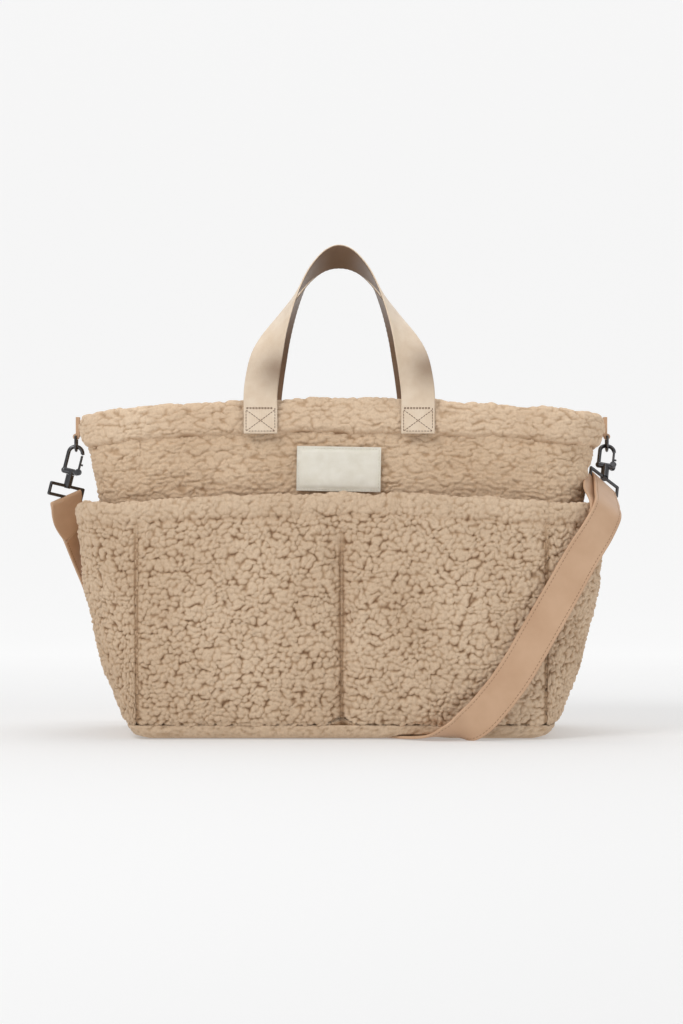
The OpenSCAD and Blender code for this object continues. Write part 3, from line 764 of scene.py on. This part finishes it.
def make_handle(name, mirrored):
    route, turns = [], []
    taller = REAR_TALLER if mirrored else 1.0
    foot_low = HINGE_Z - FOOT_H
    for sign in (-1, 1):
        order = range(len(HANDLE_RISE)) if sign < 0 else range(len(HANDLE_RISE) - 2, -1, -1)
        legs, ways = [], []
        for k in order:
            x, y, z = HANDLE_RISE[k]
            w = HANDLE_TURN[k]
            legs.append((HANDLE_X + sign * x, WEB_Y + y, HINGE_Z + z * taller))
            ways.append((w[0] if sign > 0 else -w[0], w[1], w[2]))
        feet = [(HANDLE_X + sign * FOOT_X, WEB_Y, foot_low + k) for k in (0.0, 11, 22)]
        way = (-1, 0, 0) if sign > 0 else (1, 0, 0)
        route += feet + legs if sign < 0 else legs + feet[::-1]
        turns += [way] * 3 + ways if sign < 0 else ways + [way] * 3
    path, across, _ = evenly(curve_points(route, 12), curve_points(turns, 12), 1.6)
    profile = ribbon_profile(WEB_W, WEB_T * 0.9, 61, 5)

    def relief(s, x):
        edge = WEB_W / 2 - np.abs(x)
        ribs = 0.05 * np.sin(2 * np.pi * x / 1.5) * step(1.2, 2.2, edge)
        picot = 0.16 * np.sin(2 * np.pi * s / 2.4) * step(1.6, 0.2, edge)
        return ribs + picot + 0.04 * smooth_noise(s + 0 * x, x + 0 * s, 9, 81)

    def shade(s, length, x):
        # painted shade: the satin is darkened where each leg starts to turn inwards and faces away from the
        # light
        from_end = np.minimum(s, length - s)
        inner = np.where(s < length / 2, x, -x)
        patch = np.exp(-((from_end - PAINTED_SHADE_UP) / PAINTED_SHADE_LONG) ** 2)
        return PAINTED_SHADE_STRENGTH * patch * (0.6 + 0.4 * np.tanh(inner / 9))

    obj = ribbon(name, path, across, profile, relief, shade)
    if mirrored:
        obj.data.transform(Matrix.Scale(-1, 4, (0, 1, 0)))
        obj.data.flip_normals()
    return obj


def foot_stitching(name, facing):
    """Box and cross stitching on both feet, with a double row across the top."""
    y = facing * -(WEB_Y - WEB_T / 2 - 0.05)
    top, low, half = HINGE_Z - 9, HINGE_Z - FOOT_H + 2.2, WEB_W / 2 - 2.2
    runs = []
    for cx in (HANDLE_X - FOOT_X, HANDLE_X + FOOT_X):
        corner = lambda sx, z: (cx + sx * half, y, z)
        lines = [(corner(-1, top), corner(1, top)), (corner(-1, top - 0.9), corner(1, top - 0.9)),
                 (corner(1, top), corner(1, low)), (corner(1, low), corner(-1, low)),
                 (corner(-1, low), corner(-1, top)), (corner(-1, top - 2), corner(1, low)),
                 (corner(1, top - 2), corner(-1, low))]
        runs += [(np.linspace(a, b, 12), np.tile([0, facing, 0], (12, 1))) for a, b in lines]
    return stitches(name, runs, 2.1, 0.6, 0.55)


front_handle = make_handle("front_handle_webbing", False)
rear_handle = make_handle("rear_handle_webbing", True)
for piece, side, sign in ((front_handle, "front", -1), (rear_handle, "rear", 1)):
    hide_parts(f"{side}_handle", f"{side}_handle_feet")
    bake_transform(piece)
front_thread = foot_stitching("front_handle_stitching", -1)
rear_thread = foot_stitching("rear_handle_stitching", 1)
for piece in (front_thread, rear_thread):
    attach(piece, "bag")


# ---------------- label
def make_label():
    x = np.linspace(-LABEL_W / 2, LABEL_W / 2, 76)
    z = np.linspace(-LABEL_H / 2, LABEL_H / 2, 42)
    gx, gz = np.meshgrid(x, z, indexing="xy")
    ripple = 0.5 * smooth_noise(gx, gz, 17, 91) + 0.25 * smooth_noise(gx, gz, 7, 92)
    edge = np.minimum(LABEL_W / 2 - np.abs(gx), LABEL_H / 2 - np.abs(gz))
    y = -2.6 - ripple + 0.7 * np.exp(-((edge - 2.0) / 1.6) ** 2)
    turn = np.array(Matrix.Rotation(math.radians(LABEL_TILT), 3, "Y"))
    place = lambda p: p @ turn.T + np.array([LABEL_X, FRONT_Y - 0.6, LABEL_Z])
    obj = thin_cloth("blank_label", place(np.stack([gx, y, gz], axis=-1)),
                     place(np.stack([gx, y + 0.8, gz], axis=-1)))
    runs = []
    half_w, half_h = LABEL_W / 2 - 1.8, LABEL_H / 2 - 1.8
    corners = [(-half_w, half_h), (half_w, half_h), (half_w, -half_h), (-half_w, -half_h), (-half_w, half_h)]
    for a, b in zip(corners, corners[1:]):
        line = np.linspace((a[0], -3.0, a[1]), (b[0], -3.0, b[1]), 30)
        runs.append((place(line), np.tile([0, -1, 0], (30, 1))))
    return obj, stitches("label_stitching", runs, 2.0, 0.45, 0.7)


label, label_thread = make_label()
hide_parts("label")
for piece in (label, label_thread):
    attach(piece, "bag")


# ---------------- materials
def material(name):
    mat = bpy.data.materials.new(name)
    mat.use_nodes = True
    tree = mat.node_tree
    shader = tree.nodes["Principled BSDF"]
    return mat, tree, shader


def node(tree, kind, **values):
    n = tree.nodes.new(kind)
    for key, value in values.items():
        setattr(n, key, value)
    return n


def linear(r, g, b):
    """A colour for the shader from the values a screen shows."""
    return tuple(((c / 255 + 0.055) / 1.055) ** 2.4 for c in (r, g, b)) + (1.0,)


def grey(v):
    return (v, v, v, 1)


def darker(colour, share):
    return tuple(c * share for c in colour[:3]) + (1,)


def multiply(tree, a, b, factor=1.0):
    """Colour a times colour b, as far as factor says."""
    mix = node(tree, "ShaderNodeMix", data_type="RGBA", blend_type="MULTIPLY")
    mix.inputs["Factor"].default_value = factor
    tree.links.new(a, mix.inputs["A"])
    tree.links.new(b, mix.inputs["B"])
    return mix.outputs["Result"]


def ramp(tree, source, stops):
    r = tree.nodes.new("ShaderNodeValToRGB")
    while len(r.color_ramp.elements) < len(stops):
        r.color_ramp.elements.new(0.5)
    for element, (at, colour) in zip(r.color_ramp.elements, stops):
        element.position = at
        element.color = colour
    tree.links.new(source, r.inputs[0])
    return r.outputs["Color"]


def noise(tree, scale, detail=3.0, rough=0.55):
    coords = node(tree, "ShaderNodeTexCoord")
    n = node(tree, "ShaderNodeTexNoise")
    n.inputs["Scale"].default_value = scale
    n.inputs["Detail"].default_value = detail
    n.inputs["Roughness"].default_value = rough
    tree.links.new(coords.outputs["Object"], n.inputs["Vector"])
    return n


def bump(tree, shader, height, distance, strength=1.0):
    b = node(tree, "ShaderNodeBump")
    b.inputs["Strength"].default_value = strength
    b.inputs["Distance"].default_value = distance
    tree.links.new(height, b.inputs["Height"])
    tree.links.new(b.outputs["Normal"], shader.inputs["Normal"])


def fleece_material(name, dark, light):
    mat, tree, shader = material(name)
    crease = node(tree, "ShaderNodeAttribute", attribute_name="crease")
    patch = noise(tree, 16, 3)
    curl = noise(tree, 520, 4, 0.65)
    tone = ramp(tree, patch.outputs["Fac"], [(0.3, dark), (0.7, light)])
    # painted shade: the crease attribute darkens the fleece in its creases and sewn grooves
    painted_crease_shade = ramp(tree, crease.outputs["Fac"], [(0.0, grey(1.0)), (0.5, (0.77, 0.71, 0.65, 1)),
                                              (1.0, (0.44, 0.35, 0.28, 1))])
    shade = ramp(tree, curl.outputs["Fac"], [(0.3, (0.74, 0.72, 0.70, 1)), (0.6, grey(1.0))])
    creased = multiply(tree, tone, painted_crease_shade)
    fibre = multiply(tree, creased, shade, 0.5)
    tree.links.new(fibre, shader.inputs["Base Color"])
    shader.inputs["Roughness"].default_value = 0.95
    shader.inputs["Specular IOR Level"].default_value = 0.12
    shader.inputs["Sheen Weight"].default_value = 0.25
    shader.inputs["Sheen Roughness"].default_value = 0.5
    shader.inputs["Sheen Tint"].default_value = linear(250, 232, 212)
    bump(tree, shader, curl.outputs["Fac"], 0.0012, 0.8)
    return mat


def webbing_material():
    mat, tree, shader = material("satin_webbing")
    coords = node(tree, "ShaderNodeTexCoord")
    wave = node(tree, "ShaderNodeTexWave", bands_direction="Z")
    wave.inputs["Scale"].default_value = 520
    wave.inputs["Distortion"].default_value = 1.5
    wave.inputs["Detail"].default_value = 2
    tree.links.new(coords.outputs["Object"], wave.inputs["Vector"])
    streak = noise(tree, 90, 4)
    tone = ramp(tree, streak.outputs["Fac"], [(0.3, linear(232, 209, 182)), (0.7, linear(243, 224, 200))])
    shade = ramp(tree, wave.outputs["Fac"], [(0.2, (0.78, 0.76, 0.74, 1)), (0.7, grey(1.0))])
    weave = multiply(tree, tone, shade, 0.35)
    # the crease attribute multiplies the inner face to dark brown, and the lower legs by the painted shade
    side = node(tree, "ShaderNodeAttribute", attribute_name="crease")
    inner_brown_and_painted_shade = node(tree, "ShaderNodeMix", data_type="RGBA", blend_type="MULTIPLY")
    inner_brown_and_painted_shade.inputs["B"].default_value = (0.24, 0.165, 0.115, 1)
    tree.links.new(side.outputs["Fac"], inner_brown_and_painted_shade.inputs["Factor"])
    tree.links.new(weave, inner_brown_and_painted_shade.inputs["A"])
    tree.links.new(inner_brown_and_painted_shade.outputs["Result"], shader.inputs["Base Color"])
    shader.inputs["Roughness"].default_value = 0.42
    shader.inputs["Sheen Weight"].default_value = 0.2
    bump(tree, shader, wave.outputs["Fac"], 0.0002, 0.5)
    return mat


def leather_material():
    mat, tree, shader = material("strap_leather")
    patch = noise(tree, 28, 4)
    tone = ramp(tree, patch.outputs["Fac"], [(0.3, linear(196, 158, 126)), (0.7, linear(210, 174, 142))])
    tree.links.new(tone, shader.inputs["Base Color"])
    coords = node(tree, "ShaderNodeTexCoord")
    grain = node(tree, "ShaderNodeTexVoronoi")
    grain.inputs["Scale"].default_value = 1300
    tree.links.new(coords.outputs["Object"], grain.inputs["Vector"])
    bump(tree, shader, grain.outputs["Distance"], 0.00012, 0.45)
    gloss = ramp(tree, patch.outputs["Fac"], [(0.3, grey(0.40)), (0.7, grey(0.52))])
    tree.links.new(gloss, shader.inputs["Roughness"])
    shader.inputs["Specular IOR Level"].default_value = 0.45
    return mat


def cloth_material(name, dark, light, scale, rough):
    mat, tree, shader = material(name)
    patch = noise(tree, scale / 14, 3)
    tone = ramp(tree, patch.outputs["Fac"], [(0.3, dark), (0.7, light)])
    tree.links.new(tone, shader.inputs["Base Color"])
    coords = node(tree, "ShaderNodeTexCoord")
    warp = node(tree, "ShaderNodeTexWave", bands_direction="X")
    weft = node(tree, "ShaderNodeTexWave", bands_direction="Z")
    both = node(tree, "ShaderNodeMath", operation="MULTIPLY")
    for w in (warp, weft):
        w.inputs["Scale"].default_value = scale
        tree.links.new(coords.outputs["Object"], w.inputs["Vector"])
    tree.links.new(warp.outputs["Fac"], both.inputs[0])
    tree.links.new(weft.outputs["Fac"], both.inputs[1])
    bump(tree, shader, both.outputs["Value"], 0.00015, 0.5)
    shader.inputs["Roughness"].default_value = rough
    shader.inputs["Sheen Weight"].default_value = 0.15
    return mat


def metal_material(name, colour, rough):
    mat, tree, shader = material(name)
    smudge = noise(tree, 240, 4)
    tone = ramp(tree, smudge.outputs["Fac"], [(0.35, darker(colour, 0.8)), (0.7, colour)])
    tree.links.new(tone, shader.inputs["Base Color"])
    spread = ramp(tree, smudge.outputs["Fac"], [(0.3, grey(rough)), (0.75, grey(rough + 0.14))])
    tree.links.new(spread, shader.inputs["Roughness"])
    shader.inputs["Metallic"].default_value = 1.0
    bump(tree, shader, smudge.outputs["Fac"], 0.00005, 0.3)
    return mat


def thread_material(name, colour):
    mat, tree, shader = material(name)
    twist = noise(tree, 1600, 2)
    tone = ramp(tree, twist.outputs["Fac"], [(0.35, darker(colour, 0.7)), (0.65, colour)])
    tree.links.new(tone, shader.inputs["Base Color"])
    shader.inputs["Roughness"].default_value = 0.6
    bump(tree, shader, twist.outputs["Fac"], 0.0001, 0.6)
    return mat


# the body and hem copies are painted light: lighter tones, as the top of the bag takes more light from above
fleece_mat = fleece_material("teddy_fleece", linear(214, 187, 158), linear(227, 202, 174))
body_lit_fleece_mat = fleece_material("teddy_fleece_body_painted_light", linear(218, 189, 158), linear(230, 203, 173))
hem_lit_fleece_mat = fleece_material("teddy_fleece_hem_painted_light", linear(226, 198, 168), linear(237, 211, 182))
webbing_mat = webbing_material()
leather_mat = leather_material()
lining_mat = cloth_material("lining_cloth", linear(205, 194, 176), linear(222, 212, 195), 900, 0.6)
label_mat = cloth_material("label_cloth", linear(236, 230, 214), linear(244, 239, 226), 1500, 0.5)
foam_mat = cloth_material("foam_pad", linear(225, 224, 218), linear(240, 239, 234), 500, 0.9)
board_mat = cloth_material("base_board_sheet", linear(60, 60, 62), linear(76, 76, 78), 300, 0.5)
gunmetal_mat = metal_material("gunmetal", (0.13, 0.13, 0.135, 1), 0.18)
steel_mat = metal_material("spring_steel", (0.55, 0.55, 0.56, 1), 0.25)
tan_thread = thread_material("tan_thread", linear(120, 82, 56))
cream_thread = thread_material("cream_thread", linear(240, 234, 218))
strap_thread_mat = thread_material("strap_thread", linear(168, 128, 96))


def dress(obj, mat):
    obj.data.materials.clear()
    obj.data.materials.append(mat)


for piece in fleece_pieces:
    dress(piece, fleece_mat)
for piece in (front_panel, right_gusset, rear_panel, left_gusset):
    dress(piece, body_lit_fleece_mat)
dress(hem, hem_lit_fleece_mat)
for piece in (lining, lining_floor, slip):
    dress(piece, lining_mat)
for piece in (front_handle, rear_handle):
    dress(piece, webbing_mat)
for piece in (front_thread, rear_thread):
    dress(piece, tan_thread)
dress(strap, leather_mat)
for piece in strap_leaves:
    dress(piece, leather_mat)
dress(strap_thread, strap_thread_mat)
dress(label, label_mat)
dress(label_thread, cream_thread)


def dress_node(name, mat):
    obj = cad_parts[name]
    obj = bpy.data.objects[obj] if isinstance(obj, str) else obj
    for s in obj.material_slots:
        s.material = mat


for side in ("left", "right"):
    for part in ("ring", "hook", "gate", "gate_pin", "strap_loop"):
        dress_node(f"{side}_{part}", gunmetal_mat)
    dress_node(f"{side}_gate_spring", steel_mat)
    dress_node(f"{side}_tab", leather_mat)
for name in ("front_magnet_snap", "rear_magnet_snap"):
    dress_node(name, gunmetal_mat)
for piece in pads:
    dress(piece, foam_mat)
dress_node("base_board", board_mat)


# ---------------- stage and light
NEAR_Y, FAR_Y = 0.3, 2.4            # the paper glows more from here to there, in metres
FLOOR_AT, CURVE_Y, CURVE_R = -0.0003, 2.5, 1.5


def make_stage():
    mat, tree, shader = material("paper_backdrop")
    coords = node(tree, "ShaderNodeTexCoord")
    place = node(tree, "ShaderNodeSeparateXYZ")
    tree.links.new(coords.outputs["Object"], place.inputs["Vector"])
    far = node(tree, "ShaderNodeMapRange")
    far.inputs["From Min"].default_value = NEAR_Y
    far.inputs["From Max"].default_value = FAR_Y
    tree.links.new(place.outputs["Y"], far.inputs["Value"])
    paper = ramp(tree, far.outputs["Result"], [(0.0, grey(0.62)), (1.0, grey(0.35))])
    glow = ramp(tree, far.outputs["Result"], [(0.0, grey(0.27)), (0.5, grey(0.55)), (1.0, grey(0.68))])
    tree.links.new(paper, shader.inputs["Base Color"])
    tree.links.new(glow, shader.inputs["Emission Color"])
    shader.inputs["Roughness"].default_value = 1.0
    shader.inputs["Specular IOR Level"].default_value = 0.0
    shader.inputs["Emission Strength"].default_value = 1.0
    profile = [(-8, FLOOR_AT), (CURVE_Y, FLOOR_AT)]
    profile += [(CURVE_Y + CURVE_R * math.sin(a), FLOOR_AT + CURVE_R - CURVE_R * math.cos(a))
                for a in np.linspace(0.1, math.pi / 2, 24)]
    profile += [(CURVE_Y + CURVE_R, 7.0)]
    points = np.array([[(x, y, z) for x in (-9.0, 9.0)] for y, z in profile])
    rows, cols = points.shape[:2]
    stage = new_object("paper", points, grid_faces(rows, cols))
    dress(stage, mat)


make_stage()
world = bpy.data.worlds.new("studio")
bpy.context.scene.world = world
world.use_nodes = True
world.node_tree.nodes["Background"].inputs["Color"].default_value = (1, 1, 1, 1)
world.node_tree.nodes["Background"].inputs["Strength"].default_value = 0.5


def softbox(name, at, aim, size, power):
    data = bpy.data.lights.new(name, "AREA")
    data.shape = "RECTANGLE"
    data.size, data.size_y = size
    data.energy = power
    light = bpy.data.objects.new(name, data)
    light.location = at
    light.rotation_euler = (Vector(aim) - Vector(at)).to_track_quat("-Z", "Y").to_euler()
    bpy.context.scene.collection.objects.link(light)


softbox("key", (-1.1, -1.6, 1.9), (0, 0, 0.15), (1.0, 0.8), 22)
softbox("fill", (1.7, -1.5, 1.0), (0, 0, 0.15), (1.2, 1.4), 5)
softbox("top", (0.2, 0.3, 2.2), (0, 0, 0.1), (1.6, 1.2), 12)

bpy.context.scene.view_settings.view_transform = "Standard"
